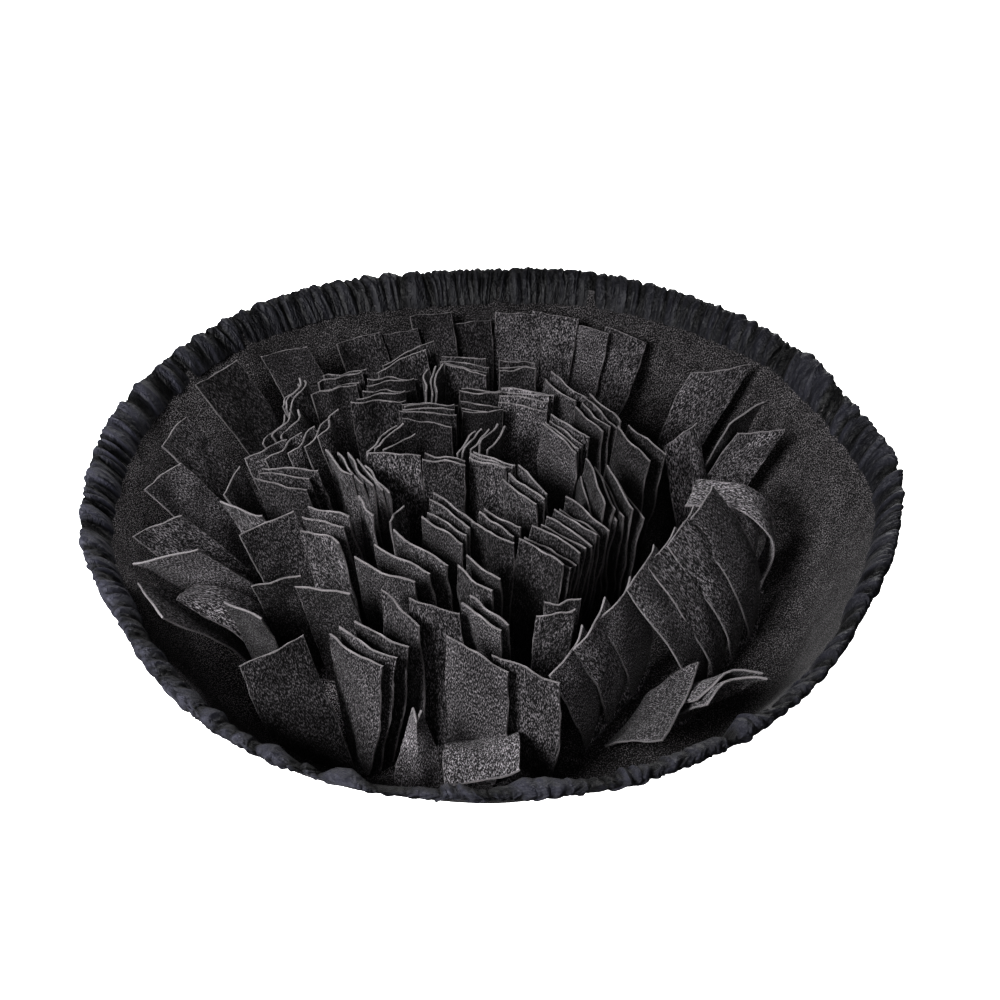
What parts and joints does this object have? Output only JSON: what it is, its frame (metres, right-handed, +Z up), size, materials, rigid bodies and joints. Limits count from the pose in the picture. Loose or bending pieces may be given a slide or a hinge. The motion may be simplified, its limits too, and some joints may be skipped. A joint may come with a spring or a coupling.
{
  "type": "snuffle mat",
  "caption": "Round felt foraging mat for a pet: a felt disc gathered into a shallow bowl by an elastic casing, filled with rows of standing felt flaps",
  "frame": {"origin": "on the floor under the middle of the mat, at the bottom centre of its box", "axes": "+Z up out of the bowl, -Y toward the low front edge, +X to the right seen from the front"},
  "size_m": [0.4879, 0.4879, 0.0885],
  "materials": {
    "base_felt": "matte charcoal melange felt",
    "flap_felt": "matte charcoal melange felt with lighter cut edges",
    "casing_nylon": "satin black nylon, gathered"
  },
  "bodies": {
    "root": {"base_felt": "base_felt", "rim_casing": "casing_nylon", "flaps_wall_back_right": "flap_felt", "flaps_wall_back_left": "flap_felt", "flaps_wall_left_back": "flap_felt", "flaps_wall_left": "flap_felt", "flaps_wall_left_front": "flap_felt", "flaps_wall_right": "flap_felt", "flaps_wall_right_back": "flap_felt", "flaps_front_lying": "flap_felt", "flaps_front_bright_edge": "flap_felt", "flaps_front_right_lying": "flap_felt", "flaps_front_right_loops": "flap_felt", "flaps_back_left_inner": "flap_felt", "flaps_back_left_outer": "flap_felt", "flaps_back_left_far": "flap_felt", "flaps_back_left_edge": "flap_felt", "flaps_left_back_upper": "flap_felt", "flaps_left_back_lower": "flap_felt", "flaps_left_back_curve": "flap_felt", "flaps_back_stack": "flap_felt", "flaps_back_pages": "flap_felt", "flaps_back_mid_left": "flap_felt", "flaps_back_hooks": "flap_felt", "flaps_back_small": "flap_felt", "flaps_bright_stack": "flap_felt", "flaps_right_back_long": "flap_felt", "flaps_right_back_fan": "flap_felt", "flaps_right_mid_stack": "flap_felt", "flaps_leaf_pages": "flap_felt", "flaps_right_edge_pair": "flap_felt", "flaps_right_lying": "flap_felt", "flaps_right_arch": "flap_felt", "flaps_mid_fins": "flap_felt", "flaps_core_left": "flap_felt", "flaps_core_mid": "flap_felt", "flaps_core_right": "flap_felt", "flaps_core_steps": "flap_felt", "flaps_core_fold": "flap_felt", "flaps_core_curve": "flap_felt", "flaps_core_tail": "flap_felt", "flaps_core_low": "flap_felt", "flaps_left_slope": "flap_felt", "flaps_left_peak": "flap_felt", "flaps_left_flat": "flap_felt", "flaps_left_low": "flap_felt", "flaps_left_slant": "flap_felt", "flaps_left_arc": "flap_felt", "flaps_left_v_inner": "flap_felt", "flaps_left_fold": "flap_felt", "flaps_left_dark": "flap_felt", "flaps_left_front_face": "flap_felt", "flaps_big_left": "flap_felt", "flaps_front_left": "flap_felt", "flaps_front_slope": "flap_felt", "flaps_front_bright": "flap_felt", "flaps_front_step": "flap_felt", "flaps_front_face": "flap_felt", "flaps_ring_front": "flap_felt", "flaps_ring_right": "flap_felt"}
  },
  "joints": []
}
